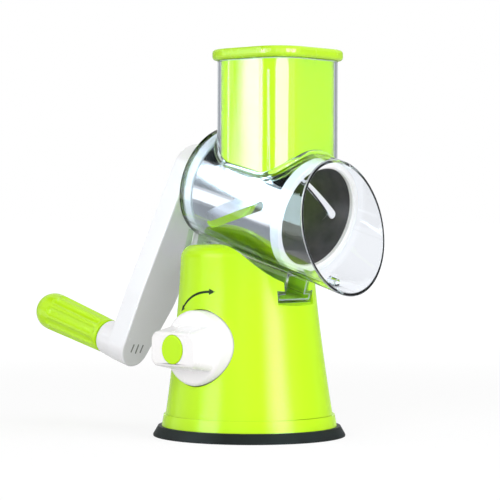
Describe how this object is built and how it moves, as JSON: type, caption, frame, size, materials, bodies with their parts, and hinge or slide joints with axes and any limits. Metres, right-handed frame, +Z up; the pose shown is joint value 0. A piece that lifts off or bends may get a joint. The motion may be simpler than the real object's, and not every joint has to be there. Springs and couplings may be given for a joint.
{
  "type": "rotary drum shredder",
  "caption": "Hand cranked rotary vegetable shredder: steel slicing drum in a clear housing with a hopper and pusher, on a lime suction foot.",
  "frame": {"origin": "centre of the rubber foot's underside, on the table", "axes": "+Z up; -Y towards the outlet mouth; +Y towards the crank; -X towards the lock knob"},
  "size_m": [0.1292, 0.2432, 0.24],
  "materials": {
    "lime": "glossy lime green ABS",
    "white": "glossy white ABS",
    "clear": "clear moulded plastic",
    "steel": "polished stainless steel",
    "zinc": "zinc plated steel",
    "rubber": "black rubber"
  },
  "bodies": {
    "base": {"base_shell": "lime", "skirt_ring": "lime", "suction_pad": "rubber", "guide_plate": "white", "plate_screws": "zinc", "stem_spring": "zinc"},
    "lift": {"lift_stem": "white"},
    "knob": {"lock_knob": "white", "knob_cap": "lime", "knob_screw": "zinc", "cam_shaft": "white"},
    "housing": {"clear_housing": "clear", "rear_bush": "white"},
    "pusher": {"pusher_body": "lime", "pusher_lid": "lime"},
    "drum": {"drum_sleeve": "steel", "drum_front_ring": "white", "drum_rear_ring": "white", "drum_hub": "lime", "drive_shaft": "white", "crank_arm": "white", "crank_screw": "zinc", "grip_spindle": "zinc"},
    "grip": {"grip": "lime"}
  },
  "joints": [
    {"name": "housing_slide", "type": "slide", "parent": "base", "child": "housing", "axis": [0, 0.9636, 0.2672], "range_m": [0, 0.075]},
    {"name": "pusher_lift", "type": "slide", "parent": "housing", "child": "pusher", "axis": [0, 0, 1], "range_m": [0, 0.09]},
    {"name": "drum_spin", "type": "hinge", "parent": "housing", "child": "drum", "pos_m": [0, 0, 0.152], "axis": [0, -0.9636, -0.2672], "continuous": true},
    {"name": "grip_spin", "type": "hinge", "parent": "drum", "child": "grip", "pos_m": [-0.03211, 0.06928, 0.05187], "axis": [0, 0.9636, 0.2672], "continuous": true},
    {"name": "lock_knob_turn", "type": "hinge", "parent": "base", "child": "knob", "pos_m": [-0.0419, 0, 0.0564], "axis": [1, 0, 0], "range_deg": [0, 90]},
    {"name": "stem_lift", "type": "slide", "parent": "base", "child": "lift", "axis": [0, 0, 1], "range_m": [0, 0.0032], "deforming": ["stem_spring"]}
  ],
  "couplings": [
    {"joint": "stem_lift", "follows": "lock_knob_turn", "m_per_rad": 0.0019807}
  ]
}
